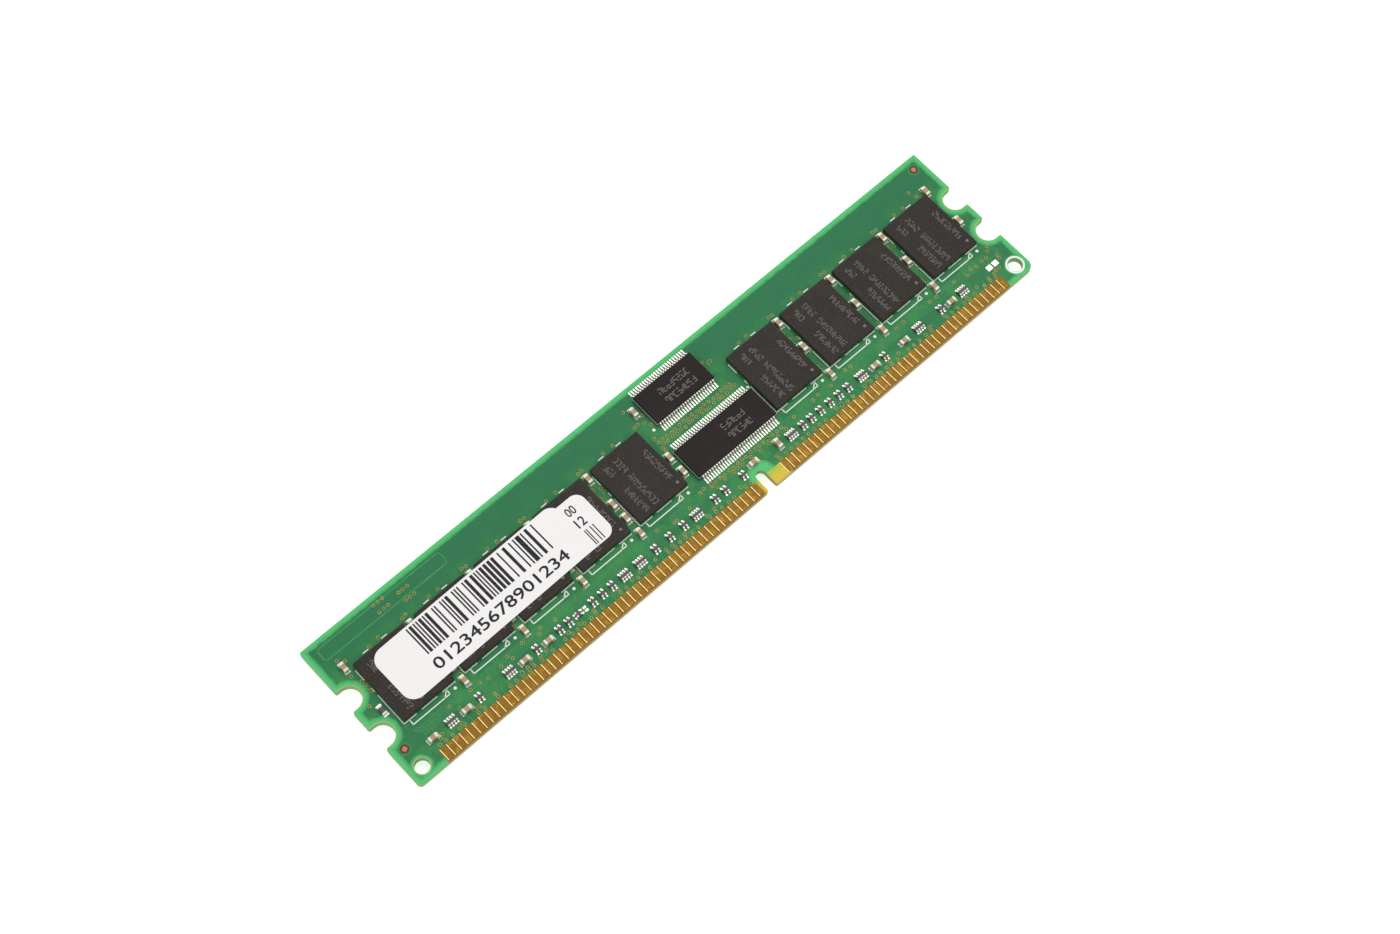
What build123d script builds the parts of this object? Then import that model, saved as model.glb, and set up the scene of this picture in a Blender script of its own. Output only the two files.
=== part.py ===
from build123d import *
import os

# A registered memory module for a server board, lying flat with its labelled face up.
# X runs along its length, Y from the edge contacts to the top edge, Z out of the labelled face.
# The origin is under the middle of the board, at the outer faces of the packages on the back,
# which the module rests on. Millimetres.

# Board: the outline, its thickness, and what is cut into its edges.
BOARD_LENGTH = 133.35
BOARD_WIDTH = 28.575
BOARD_THICKNESS = 1.27
TOP_CORNER_RADIUS = 0.3
LEFT_CORNER_RADIUS = 0.8
RIGHT_CORNER_RADIUS = 1.4
EDGE_CHAMFER = 0.2
NOTCH_RADIUS = 2.0
NOTCH_CENTRE_INSET = 1.0
NOTCH_CENTRE_HEIGHTS = (10.0, 17.8)
NOTCH_MOUTH_RADIUS = 0.3
HOLE_RADIUS = 1.25
HOLE_INSET = 2.3
KEY_SLOT_CENTRE = 73.25
KEY_SLOT_WIDTH = 1.8
KEY_SLOT_DEPTH = 3.7
KEY_SLOT_MOUTH_RADIUS = 0.4

# Edge contacts: gold-plated fingers in two rows on each face.
CONTACT_PITCH = 1.27
CONTACT_WIDTH = 1.02
CONTACT_BOTTOM = 0.25
CONTACT_TOP = 2.5
LONG_ROW_FIRST = 6.35
LONG_ROW_COUNT = 52
SHORT_ROW_FIRST = 77.47
SHORT_ROW_COUNT = 40
PLATING_THICKNESS = 0.05

# Memory packages: nine on each face, five left and four right of the register.
PACKAGE_LENGTH = 10.0
PACKAGE_WIDTH = 12.1
PACKAGE_HEIGHT = 1.1
PACKAGE_CENTRE_HEIGHT = 15.35
LEFT_PACKAGES_FIRST = 9.74
LEFT_PACKAGES_PITCH = 12.13
LEFT_PACKAGES_COUNT = 5
RIGHT_PACKAGES_FIRST = 87.94
RIGHT_PACKAGES_PITCH = 11.96
RIGHT_PACKAGES_COUNT = 4
SUBSTRATE_THICKNESS = 0.2
MEMORY_DIE_LENGTH = 7.2
MEMORY_DIE_WIDTH = 9.6
MEMORY_DIE_THICKNESS = 0.25

# Solder joints: twelve rows, the outer column missing from the upper six.
# Each ball is drawn at its reflowed waist, as a short straight post.
BALL_RADIUS = 0.225
BALL_HEIGHT = 0.3
BALL_ROW_PITCH = 1.0
BALL_ROWS = 12
BALL_ROWS_WITH_OUTER_COLUMN = 6
BALL_COLUMNS = (1.6, 2.4, 3.2)

# Gull-wing packages: heights are above the board's face.
LEAD_THICKNESS = 0.13
LEAD_BEND_RADIUS = 0.1
LEAD_SHOULDER = 0.25
LEAD_ANCHOR = 0.3
FOOT_LENGTH = 0.6
LEAD_RUN = 0.18
PARTING_HEIGHT = 0.61
MOULDING_BOTTOM = 0.13
MOULDING_TOP = 1.09
MOULDING_DRAFT = 11.0
PADDLE_THICKNESS = 0.13
PADDLE_MARGIN = 0.3
CHIP_DIE_THICKNESS = 0.2

CLOCK_CHIP = {
    "length": 12.5, "width": 6.1, "leads_each_side": 24, "pitch": 0.5,
    "tip_to_tip": 8.1, "lead_width": 0.22, "die_length": 3.4, "die_width": 3.0,
}
REGISTER_CHIP = {
    "length": 17.0, "width": 6.1, "leads_each_side": 32, "pitch": 0.5,
    "tip_to_tip": 8.1, "lead_width": 0.22, "die_length": 4.6, "die_width": 3.0,
}
EEPROM_CHIP = {
    "length": 3.0, "width": 4.4, "leads_each_side": 4, "pitch": 0.65,
    "tip_to_tip": 6.4, "lead_width": 0.25, "die_length": 1.4, "die_width": 1.6,
}
CLOCK_CHIP_PLACE = (73.03, 23.2)
REGISTER_PLACE = (73.85, 11.88)
EEPROM_PLACE = (73.4, 22.4)

# Passive chips.
CAPACITOR = {"length": 1.6, "width": 0.8, "height": 0.8, "cap": 0.38}
RESISTOR = {"length": 1.6, "width": 0.8, "height": 0.45, "cap": 0.3}
ARRAY_WIDTH = 1.0
ARRAY_HEIGHT = 0.4
ARRAY_PITCH = 0.5
ARRAY_LENGTH = 2.0
ARRAY_TERMINALS = 4
PAIR_PITCH = 0.64
PAIR_LENGTH = 1.0
PAIR_TERMINALS = 2
ARRAY_TERMINAL_WIDTH = 0.32
ARRAY_TERMINAL_DEPTH = 0.25
PASSIVE_PAD_LENGTH = 0.62
PASSIVE_PAD_WIDTH = 0.92
PASSIVE_PAD_REACH = 1.1
ARRAY_PAD_WIDTH = 0.3
ARRAY_PAD_LENGTH = 0.55
ARRAY_PAD_REACH = 0.85
LEAD_PAD_WIDTH = 0.27
LEAD_PAD_OVERHANG = 0.4
LEAD_PAD_LENGTH = 1.2

# Rows of passives, as heights above the contact edge.
BOTTOM_ROW = 4.7
BOTTOM_CAPACITOR_ROW = 4.45
GAP_LOW = 8.25
GAP_LOWER_MIDDLE = 11.6
GAP_MIDDLE = 14.7
GAP_HIGH = 20.55
BOTTOM_CAPACITORS = (6.33, 13.07, 24.8, 29.6, 100.4, 107.1, 118.0)
LONE_CAPACITORS = ((3.5, 22.1, 90), (65.4, 24.35, 90), (79.0, 4.95, 90), (73.8, 5.15, 0),
                   (129.5, 22.0, 90), (129.7, 14.35, 90))
LONE_RESISTORS = ((3.5, 13.0, 90),)
ARRAYS = (10.2, 21.9, 45.7, 48.9, 61.0, 81.8, 97.5, 110.7, 120.9)
PAIRS = (15.8, 27.4, 32.1, 34.0, 39.0, 41.0, 43.0, 52.2, 55.3, 58.2, 65.0, 67.2, 71.15,
         84.3, 86.2, 88.2, 90.3, 92.4, 94.4, 102.8, 115.8)
TURNED_PAIR = 36.0
EMPTY_PADS = ((127.4, 4.75, 1.05, 0.95), (128.75, 4.75, 1.05, 0.95),
              (37.4, 4.35, 0.6, 0.35), (37.4, 4.95, 0.6, 0.35))

# Labels on the packages.
LABEL_THICKNESS = 0.1
SMALL_LABEL_THICKNESS = 0.06
MAIN_LABEL = {"x": 26.2, "y": 15.68, "length": 38.0, "width": 10.2, "corner": 2.2, "turn": 0.85}
SMALL_LABEL = {"x": 43.05, "y": 15.4, "length": 12.7, "width": 9.15, "corner": 1.7, "turn": 0.0}

# Heights of the board's two faces in the module's frame.
BACK_FACE = PACKAGE_HEIGHT
FRONT_FACE = PACKAGE_HEIGHT + BOARD_THICKNESS


# ---------------------------------------------------------------- places


def at(face, x, y, turn=0.0):
    """A place on one face of the board: x from its left end, y from its contact edge."""
    across = x - BOARD_LENGTH / 2
    up = y - BOARD_WIDTH / 2
    if face == "front":
        return Pos(across, up, FRONT_FACE) * Rot(0, 0, turn)
    return Pos(across, up, BACK_FACE) * Rot(0, 180, 0) * Rot(0, 0, -turn)


def package_centres():
    left = [LEFT_PACKAGES_FIRST + i * LEFT_PACKAGES_PITCH for i in range(LEFT_PACKAGES_COUNT)]
    right = [RIGHT_PACKAGES_FIRST + i * RIGHT_PACKAGES_PITCH for i in range(RIGHT_PACKAGES_COUNT)]
    return left + right


def save(node, solids):
    """Write one node: a single solid, or a group of separate ones."""
    shape = solids[0] if len(solids) == 1 else Compound(children=solids)
    export_step(shape, f"parts/{node}.step")


def block(length, width, bottom, top):
    """A box centred on the place it stands at, between two heights."""
    return Pos(0, 0, bottom) * Box(length, width, top - bottom, align=(Align.CENTER, Align.CENTER, Align.MIN))


# ---------------------------------------------------------------- board


def latch_notch(side, height):
    """A round-ended notch in the left (-1) or right (+1) end of the board."""
    x = side * (BOARD_LENGTH / 2 - NOTCH_CENTRE_INSET)
    y = height - BOARD_WIDTH / 2
    mouth = Pos(x + side * NOTCH_CENTRE_INSET, y) * Rectangle(2 * NOTCH_CENTRE_INSET, 2 * NOTCH_RADIUS)
    return Pos(x, y) * Circle(NOTCH_RADIUS) + mouth


def key_slot():
    """The slot between the two contact rows, rounded at its inner end."""
    x = KEY_SLOT_CENTRE - BOARD_LENGTH / 2
    edge = -BOARD_WIDTH / 2
    straight = KEY_SLOT_DEPTH - KEY_SLOT_WIDTH / 2
    run = Pos(x, edge) * Rectangle(KEY_SLOT_WIDTH, 2 * straight)
    return run + Pos(x, edge + straight) * Circle(KEY_SLOT_WIDTH / 2)


def outline_corners(face, x, y, reach=0.01):
    """The outline's corners at one place, x and y from the middle of the board."""
    return [v for v in face.vertices() if abs(v.X - x) < reach and abs(v.Y - y) < reach]


def board_outline():
    half_length = BOARD_LENGTH / 2
    half_width = BOARD_WIDTH / 2
    face = Rectangle(BOARD_LENGTH, BOARD_WIDTH)
    mouths = []
    for height in NOTCH_CENTRE_HEIGHTS:
        for side in (-1, 1):
            face -= latch_notch(side, height)
            for edge in (-NOTCH_RADIUS, NOTCH_RADIUS):
                mouths.append((side * half_length, height - half_width + edge))
    face -= key_slot()
    for x, y in mouths:
        face = fillet(outline_corners(face, x, y), NOTCH_MOUTH_RADIUS)
    for side in (-1, 1):
        slot_side = KEY_SLOT_CENTRE - half_length + side * KEY_SLOT_WIDTH / 2
        face = fillet(outline_corners(face, slot_side, -half_width), KEY_SLOT_MOUTH_RADIUS)
        face = fillet(outline_corners(face, side * half_length, half_width), TOP_CORNER_RADIUS)
    face = fillet(outline_corners(face, -half_length, -half_width), LEFT_CORNER_RADIUS)
    face = fillet(outline_corners(face, half_length, -half_width), RIGHT_CORNER_RADIUS)
    for side in (-1, 1):
        hole = Pos(side * (half_length - HOLE_INSET), HOLE_INSET - half_width) * Circle(HOLE_RADIUS)
        face -= hole
    return face


def board_plate():
    """The laminate, with its contact edge chamfered on both faces."""
    plate = Pos(0, 0, BACK_FACE) * extrude(board_outline(), BOARD_THICKNESS)
    contact_edge = -BOARD_WIDTH / 2
    for face_height in (BACK_FACE, FRONT_FACE):
        wedge = Pos(0, contact_edge, face_height) * Rot(45, 0, 0)
        cutter = Box(BOARD_LENGTH, EDGE_CHAMFER * 2**0.5, EDGE_CHAMFER * 2**0.5)
        plate -= wedge * cutter
    return plate.solid()


# ---------------------------------------------------------------- contacts


def contact_row(face, first, count):
    finger = block(CONTACT_WIDTH, CONTACT_TOP - CONTACT_BOTTOM, 0, PLATING_THICKNESS)
    middle = (CONTACT_TOP + CONTACT_BOTTOM) / 2
    return [at(face, first + i * CONTACT_PITCH, middle) * finger for i in range(count)]


# ---------------------------------------------------------------- memory packages


def memory_die():
    seat = BALL_HEIGHT + SUBSTRATE_THICKNESS
    return block(MEMORY_DIE_LENGTH, MEMORY_DIE_WIDTH, seat, seat + MEMORY_DIE_THICKNESS)


def memory_substrate():
    return block(PACKAGE_LENGTH, PACKAGE_WIDTH, BALL_HEIGHT, BALL_HEIGHT + SUBSTRATE_THICKNESS)


def memory_moulding():
    """The black moulding over the substrate, with a pocket that the die fills."""
    seat = BALL_HEIGHT + SUBSTRATE_THICKNESS
    moulding = block(PACKAGE_LENGTH, PACKAGE_WIDTH, seat, PACKAGE_HEIGHT) - memory_die()
    return moulding.solid()


def solder_ball():
    """A reflowed ball between the board and the substrate."""
    return Cylinder(BALL_RADIUS, BALL_HEIGHT, align=(Align.CENTER, Align.CENTER, Align.MIN)).solid()


def ball_places():
    """Ball centres, from the middle of the package. Row 0 is nearest the contact edge."""
    places = []
    for row in range(BALL_ROWS):
        y = (row - (BALL_ROWS - 1) / 2) * BALL_ROW_PITCH
        columns = BALL_COLUMNS if row < BALL_ROWS_WITH_OUTER_COLUMN else BALL_COLUMNS[:2]
        for x in columns:
            places += [(-x, y), (x, y)]
    return places


# ---------------------------------------------------------------- gull-wing packages


def gull_wing_lead(chip):
    """One lead reaching out along +Y: anchor, shoulder, slope and foot."""
    body_side = chip["width"] / 2
    foot_height = PLATING_THICKNESS + LEAD_THICKNESS / 2
    shoulder = body_side + LEAD_SHOULDER
    path = FilletPolyline(
        (body_side - LEAD_ANCHOR, PARTING_HEIGHT),
        (shoulder, PARTING_HEIGHT),
        (shoulder + LEAD_RUN, foot_height),
        (chip["tip_to_tip"] / 2, foot_height),
        radius=LEAD_BEND_RADIUS,
    )
    return extrude(Plane.YZ * trace(path, LEAD_THICKNESS), chip["lead_width"] / 2, both=True).solid()


def lead_offsets(chip):
    count = chip["leads_each_side"]
    return [(i - (count - 1) / 2) * chip["pitch"] for i in range(count)]


def chip_leadframe(chip):
    """Both rows of leads, and the paddle under the die."""
    lead = gull_wing_lead(chip)
    solids = []
    for x in lead_offsets(chip):
        solids.append(Pos(x, 0, 0) * lead)
        solids.append(Pos(x, 0, 0) * Rot(0, 0, 180) * lead)
    paddle_length = chip["die_length"] + 2 * PADDLE_MARGIN
    paddle_width = chip["die_width"] + 2 * PADDLE_MARGIN
    bottom = PARTING_HEIGHT - PADDLE_THICKNESS
    solids.append(block(paddle_length, paddle_width, bottom, PARTING_HEIGHT))
    return solids


def chip_die(chip):
    return block(chip["die_length"], chip["die_width"], PARTING_HEIGHT, PARTING_HEIGHT + CHIP_DIE_THICKNESS)


def chip_moulding(chip):
    """Two drafted halves that meet where the leads come out, closed on the leads and the die."""
    outline = Rectangle(chip["length"], chip["width"])
    parting = Plane.XY.offset(PARTING_HEIGHT)
    upper = extrude(parting * outline, MOULDING_TOP - PARTING_HEIGHT, taper=MOULDING_DRAFT)
    lower = extrude(parting * outline, MOULDING_BOTTOM - PARTING_HEIGHT, taper=MOULDING_DRAFT)
    moulding = upper + lower
    moulding -= chip_leadframe(chip)
    moulding -= chip_die(chip)
    return moulding.solid()


def lead_pads(chip):
    """Tinned pads under the feet, a little longer than the feet."""
    reach = chip["tip_to_tip"] / 2 + LEAD_PAD_OVERHANG
    pad = block(LEAD_PAD_WIDTH, LEAD_PAD_LENGTH, 0, PLATING_THICKNESS)
    pads = []
    for x in lead_offsets(chip):
        for side in (-1, 1):
            pads.append(Pos(x, side * (reach - LEAD_PAD_LENGTH / 2), 0) * pad)
    return pads


# ---------------------------------------------------------------- passive chips


def chip_passive(sizes):
    """Body and two end caps of a capacitor or resistor, lying along X."""
    length, width, cap = sizes["length"], sizes["width"], sizes["cap"]
    bottom = PLATING_THICKNESS
    top = bottom + sizes["height"]
    body = block(length - 2 * cap, width, bottom, top)
    ends = [Pos(side * (length - cap) / 2, 0, 0) * block(cap, width, bottom, top) for side in (-1, 1)]
    return body, ends


def passive_pads():
    pad = block(PASSIVE_PAD_LENGTH, PASSIVE_PAD_WIDTH, 0, PLATING_THICKNESS)
    return [Pos(side * (PASSIVE_PAD_REACH - PASSIVE_PAD_LENGTH / 2), 0, 0) * pad for side in (-1, 1)]


def terminal_places(count, pitch):
    return [((i - (count - 1) / 2) * pitch, side) for i in range(count) for side in (-1, 1)]


def resistor_array(length, count, pitch):
    """Body notched along its two long sides, and a terminal in each notch."""
    bottom = PLATING_THICKNESS
    top = bottom + ARRAY_HEIGHT
    body = block(length, ARRAY_WIDTH, bottom, top)
    terminals = []
    for x, side in terminal_places(count, pitch):
        y = side * (ARRAY_WIDTH - ARRAY_TERMINAL_DEPTH) / 2
        terminals.append(Pos(x, y, 0) * block(ARRAY_TERMINAL_WIDTH, ARRAY_TERMINAL_DEPTH, bottom, top))
    body -= terminals
    return body.solid(), terminals


def array_pads(count, pitch):
    pad = block(ARRAY_PAD_WIDTH, ARRAY_PAD_LENGTH, 0, PLATING_THICKNESS)
    reach = ARRAY_PAD_REACH - ARRAY_PAD_LENGTH / 2
    return [Pos(x, side * reach, 0) * pad for x, side in terminal_places(count, pitch)]


def capacitor_places():
    """x, y and turn of every capacitor on one face."""
    centres = package_centres()
    left = centres[:LEFT_PACKAGES_COUNT]
    right = centres[LEFT_PACKAGES_COUNT:]
    left_gaps = [(a + b) / 2 for a, b in zip(left, left[1:])]
    right_gaps = [(a + b) / 2 for a, b in zip(right, right[1:])]
    places = [(x, BOTTOM_CAPACITOR_ROW, 0) for x in BOTTOM_CAPACITORS]
    for x in left_gaps:
        places += [(x, y, 90) for y in (GAP_LOW, GAP_LOWER_MIDDLE, GAP_MIDDLE, GAP_HIGH)]
    for x in right_gaps:
        places += [(x, y, 90) for y in (GAP_LOW, GAP_MIDDLE, GAP_HIGH)]
    register_gap = left[-1] + LEFT_PACKAGES_PITCH / 2
    places += [(register_gap, y, 90) for y in (GAP_LOWER_MIDDLE, GAP_MIDDLE)]
    return places + list(LONE_CAPACITORS)


# ---------------------------------------------------------------- labels


def label_face(label):
    middle = Pos(label["x"] - BOARD_LENGTH / 2, label["y"] - BOARD_WIDTH / 2)
    outline = RectangleRounded(label["length"], label["width"], label["corner"])
    return middle * Rot(0, 0, label["turn"]) * outline


def labels():
    """The small label lies on the packages; the main one overlaps it and is pressed down over it."""
    top = FRONT_FACE + PACKAGE_HEIGHT
    small = extrude(Pos(0, 0, top) * label_face(SMALL_LABEL), SMALL_LABEL_THICKNESS)
    main = extrude(Pos(0, 0, top) * label_face(MAIN_LABEL), LABEL_THICKNESS) - small
    return main.solid(), small.solid()


# ---------------------------------------------------------------- nodes


def save_board():
    save("circuit_board", [board_plate()])
    for face in ("front", "back"):
        save(f"{face}_contacts_long_row", contact_row(face, LONG_ROW_FIRST, LONG_ROW_COUNT))
        save(f"{face}_contacts_short_row", contact_row(face, SHORT_ROW_FIRST, SHORT_ROW_COUNT))


def save_memory(face):
    places = [at(face, x, PACKAGE_CENTRE_HEIGHT) for x in package_centres()]
    moulding = memory_moulding()
    for number, place in enumerate(places, start=1):
        save(f"{face}_memory_chip_{number}", [place * moulding])
    save(f"{face}_memory_substrates", [place * memory_substrate() for place in places])
    save(f"{face}_memory_dies", [place * memory_die() for place in places])
    ball = solder_ball()
    balls = [place * Pos(x, y, 0) * ball for place in places for x, y in ball_places()]
    save(f"{face}_memory_balls", balls)


def save_gull_wing(name, face, chip, spot):
    place = at(face, *spot)
    save(f"{name}_body", [place * chip_moulding(chip)])
    save(f"{name}_leads", [place * solid for solid in chip_leadframe(chip)])
    save(f"{name}_die", [place * chip_die(chip)])


def save_capacitors(face):
    body, ends = chip_passive(CAPACITOR)
    places = [at(face, *spot) for spot in capacitor_places()]
    save(f"{face}_capacitor_bodies", [place * body for place in places])
    save(f"{face}_capacitor_ends", [place * end for place in places for end in ends])


def save_resistors(face):
    """Arrays of four, pairs and single resistors: one node of bodies and one of terminals."""
    array_body, array_ends = resistor_array(ARRAY_LENGTH, ARRAY_TERMINALS, ARRAY_PITCH)
    pair_body, pair_ends = resistor_array(PAIR_LENGTH, PAIR_TERMINALS, PAIR_PITCH)
    single_body, single_ends = chip_passive(RESISTOR)
    parts = [(at(face, x, BOTTOM_ROW), array_body, array_ends) for x in ARRAYS]
    pairs = [(at(face, x, BOTTOM_ROW), pair_body, pair_ends) for x in PAIRS]
    pairs.append((at(face, TURNED_PAIR, BOTTOM_ROW, 90), pair_body, pair_ends))
    pairs += [(at(face, *spot), single_body, single_ends) for spot in LONE_RESISTORS]
    for name, group in (("array", parts), ("resistor", pairs)):
        save(f"{face}_{name}_bodies", [place * body for place, body, ends in group])
        save(f"{face}_{name}_ends", [place * end for place, body, ends in group for end in ends])


def save_pads(face, chips):
    """Every tinned pad on one face that is not an edge contact."""
    two = passive_pads()
    pads = [at(face, *spot) * pad for spot in capacitor_places() + list(LONE_RESISTORS) for pad in two]
    for x in ARRAYS:
        pads += [at(face, x, BOTTOM_ROW) * pad for pad in array_pads(ARRAY_TERMINALS, ARRAY_PITCH)]
    pair = array_pads(PAIR_TERMINALS, PAIR_PITCH)
    for x in PAIRS:
        pads += [at(face, x, BOTTOM_ROW) * pad for pad in pair]
    pads += [at(face, TURNED_PAIR, BOTTOM_ROW, 90) * pad for pad in pair]
    for x, y, length, width in EMPTY_PADS:
        pads.append(at(face, x, y) * block(length, width, 0, PLATING_THICKNESS))
    for chip, spot in chips:
        pads += [at(face, *spot) * pad for pad in lead_pads(chip)]
    save(f"{face}_solder_pads", pads)


def save_labels():
    main, small = labels()
    save("main_label", [main])
    save("small_label", [small])


os.makedirs("parts", exist_ok=True)
save_board()
for side in ("front", "back"):
    save_memory(side)
    save_capacitors(side)
    save_resistors(side)
save_gull_wing("clock_chip", "front", CLOCK_CHIP, CLOCK_CHIP_PLACE)
save_gull_wing("front_register", "front", REGISTER_CHIP, REGISTER_PLACE)
save_gull_wing("back_register", "back", REGISTER_CHIP, REGISTER_PLACE)
save_gull_wing("eeprom", "back", EEPROM_CHIP, EEPROM_PLACE)
save_pads("front", [(CLOCK_CHIP, CLOCK_CHIP_PLACE), (REGISTER_CHIP, REGISTER_PLACE)])
save_pads("back", [(EEPROM_CHIP, EEPROM_PLACE), (REGISTER_CHIP, REGISTER_PLACE)])
save_labels()
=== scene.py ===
import math
import random

import bmesh
import bpy
from bpy.props import FloatProperty, FloatVectorProperty, IntProperty, PointerProperty, StringProperty
from mathutils import Matrix, Vector


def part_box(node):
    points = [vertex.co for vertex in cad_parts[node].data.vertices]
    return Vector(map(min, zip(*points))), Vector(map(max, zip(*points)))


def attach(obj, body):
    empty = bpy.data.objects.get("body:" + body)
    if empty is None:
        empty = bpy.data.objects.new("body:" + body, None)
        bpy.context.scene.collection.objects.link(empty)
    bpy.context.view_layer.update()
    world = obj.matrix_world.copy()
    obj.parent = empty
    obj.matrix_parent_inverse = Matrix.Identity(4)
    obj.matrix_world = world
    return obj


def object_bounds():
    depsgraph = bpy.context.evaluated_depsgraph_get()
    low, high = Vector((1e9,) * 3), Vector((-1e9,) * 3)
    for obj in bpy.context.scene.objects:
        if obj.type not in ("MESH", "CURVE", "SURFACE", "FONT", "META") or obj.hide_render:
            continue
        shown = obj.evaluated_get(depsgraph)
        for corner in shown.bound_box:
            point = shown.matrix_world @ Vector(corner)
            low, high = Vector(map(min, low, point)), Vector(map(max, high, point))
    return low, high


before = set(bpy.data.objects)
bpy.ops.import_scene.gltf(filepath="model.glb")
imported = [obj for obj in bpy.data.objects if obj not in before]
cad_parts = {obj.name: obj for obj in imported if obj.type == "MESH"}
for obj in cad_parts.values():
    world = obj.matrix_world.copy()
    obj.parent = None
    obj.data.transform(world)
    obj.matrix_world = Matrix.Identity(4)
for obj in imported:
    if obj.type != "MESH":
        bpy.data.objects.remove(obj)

bl_info = {
    "name": "Memory Module Finish",
    "version": (1, 0, 0),
    "blender": (4, 5, 0),
    "location": "View3D > Sidebar > Module",
    "description": "Finishes a packed memory module: board, plating, packages, solder, marking and labels",
    "category": "Object",
}

CAD_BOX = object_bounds()
MM = 0.001
BOARD_LOW, BOARD_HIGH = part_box("circuit_board")
HALF_LENGTH = (BOARD_HIGH.x - BOARD_LOW.x) / 2 / MM
WIDTH = (BOARD_HIGH.y - BOARD_LOW.y) / MM
FACES = ("front", "back")
ROWS = ("long", "short")
PACKAGES = range(1, 10)
LEADED = {"front_register": "front", "back_register": "back", "clock_chip": "front", "eeprom": "back"}

# Contacts stand at even places, less the few that the key slot's gap takes up.
CONTACT_PLACES = 96
SLOT_GAP = (71.8, 76.8)

# In millimetres: masked length at each end of the bare contact strip, and the middle of its
# bright window beside the key slot, from the left end.
MASKED_END = 5.65
WINDOW = 74.6

# Thickness of print, laser marks and copper on the surface they lie on.
PRINT = 0.006 * MM
LEGEND = 0.015 * MM
TRACE = 0.012 * MM
RING = 0.018 * MM


# ---------------------------------------------------------------- settings


def colour(name, text, value):
    return FloatVectorProperty(
        name=name, description=text, subtype="COLOR", size=3, min=0, max=1, default=value
    )


def length(name, text, value):
    return FloatProperty(name=name, description=text, subtype="DISTANCE", unit="LENGTH", default=value)


class BoardSettings(bpy.types.PropertyGroup):
    mask: colour("Solder mask", "Mask over the copper planes", (0.014, 0.165, 0.062))
    mask_routed: colour("Routed mask", "Mask over the fine traces, a little brighter", (0.036, 0.240, 0.062))
    mask_border: colour("Border mask", "Mask over bare laminate, along the edges", (0.100, 0.580, 0.185))
    mask_inner: colour("Inner border mask", "The same mask where the copper begins", (0.060, 0.420, 0.130))
    mask_rim: colour("Rim mask", "Thin mask at the rims of notches and holes", (0.42, 0.48, 0.17))
    laminate: colour("Laminate", "Glass-epoxy where no mask covers it", (0.74, 0.56, 0.072))
    laminate_side: colour("Cut edge", "Sawn and routed edges of the laminate", (0.25, 0.345, 0.15))
    laminate_foot: colour("Contact foot", "Cut edge of the laminate under the contacts", (0.34, 0.29, 0.15))
    border: length("Border", "Width of the copper-free border", 1.0 * MM)
    bare_height: length("Bare height", "Height of the unmasked strip at the contact edge", 2.5 * MM)
    weave: length("Weave", "Pitch of the glass cloth under the mask", 0.45 * MM)


class MetalSettings(bpy.types.PropertyGroup):
    gold: colour("Gold", "Plating on the edge contacts", (0.250, 0.134, 0.010))
    gold_stain: colour("Gold stain", "Tarnish and wear streaks on the contacts", (0.130, 0.058, 0.006))
    # The rim colour is a painted highlight: the glint along each contact's left edge.
    rim: colour("Painted edge glint", "Glint painted along the left edge of each contact", (1.0, 0.83, 0.40))
    tin: colour("Tin", "Tin plating on leads", (0.86, 0.82, 0.755))
    caps: colour("End caps", "Tin on the passives' ends", (0.68, 0.64, 0.545))
    solder: colour("Solder", "Reflowed solder", (0.70, 0.675, 0.60))
    copper: colour("Copper", "Bare copper of the alignment marks", (0.33, 0.12, 0.068))
    ring: colour("Via ring", "Mask-covered rings of the plated holes", (0.38, 0.295, 0.085))


class PackageSettings(bpy.types.PropertyGroup):
    memory: colour("Memory moulding", "Matt compound of the memory packages", (0.022, 0.018, 0.015))
    logic: colour("Logic moulding", "Smooth compound of the leaded packages", (0.014, 0.011, 0.011))
    marking: colour("Laser marking", "Compound burnt pale by the marking laser", (0.20, 0.19, 0.175))
    ceramic: colour("Capacitor", "Fired body of the capacitors", (0.42, 0.28, 0.150))
    glaze: colour("Resistor glaze", "Black glaze over the resistive film", (0.012, 0.009, 0.009))


class LabelSettings(bpy.types.PropertyGroup):
    paper: colour("Paper", "Coated label paper", (0.93, 0.915, 0.905))
    ink: colour("Ink", "Thermal-transfer print", (0.011, 0.009, 0.009))
    digits: StringProperty(name="Digits", description="Digits under the bars", default="012345678901234")
    bar_module: length("Bar module", "Width of the narrowest bar", 0.27 * MM)
    small_module: length("Small bar module", "The same on the small label", 0.19 * MM)
    seed: IntProperty(name="Seed", description="Order of the bar widths", default=7)


class StageSettings(bpy.types.PropertyGroup):
    floor: colour("Floor", "Pale floor under the module", (0.92, 0.92, 0.92))
    lens: FloatProperty(name="Lens", description="Focal length on a 36 mm frame", unit="CAMERA", default=64.5)
    sky: FloatProperty(name="Surroundings", description="Strength of the white surroundings", default=0.5)
    key: FloatProperty(name="Key light", description="Power of the overhead light in watts", default=3.15)


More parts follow.
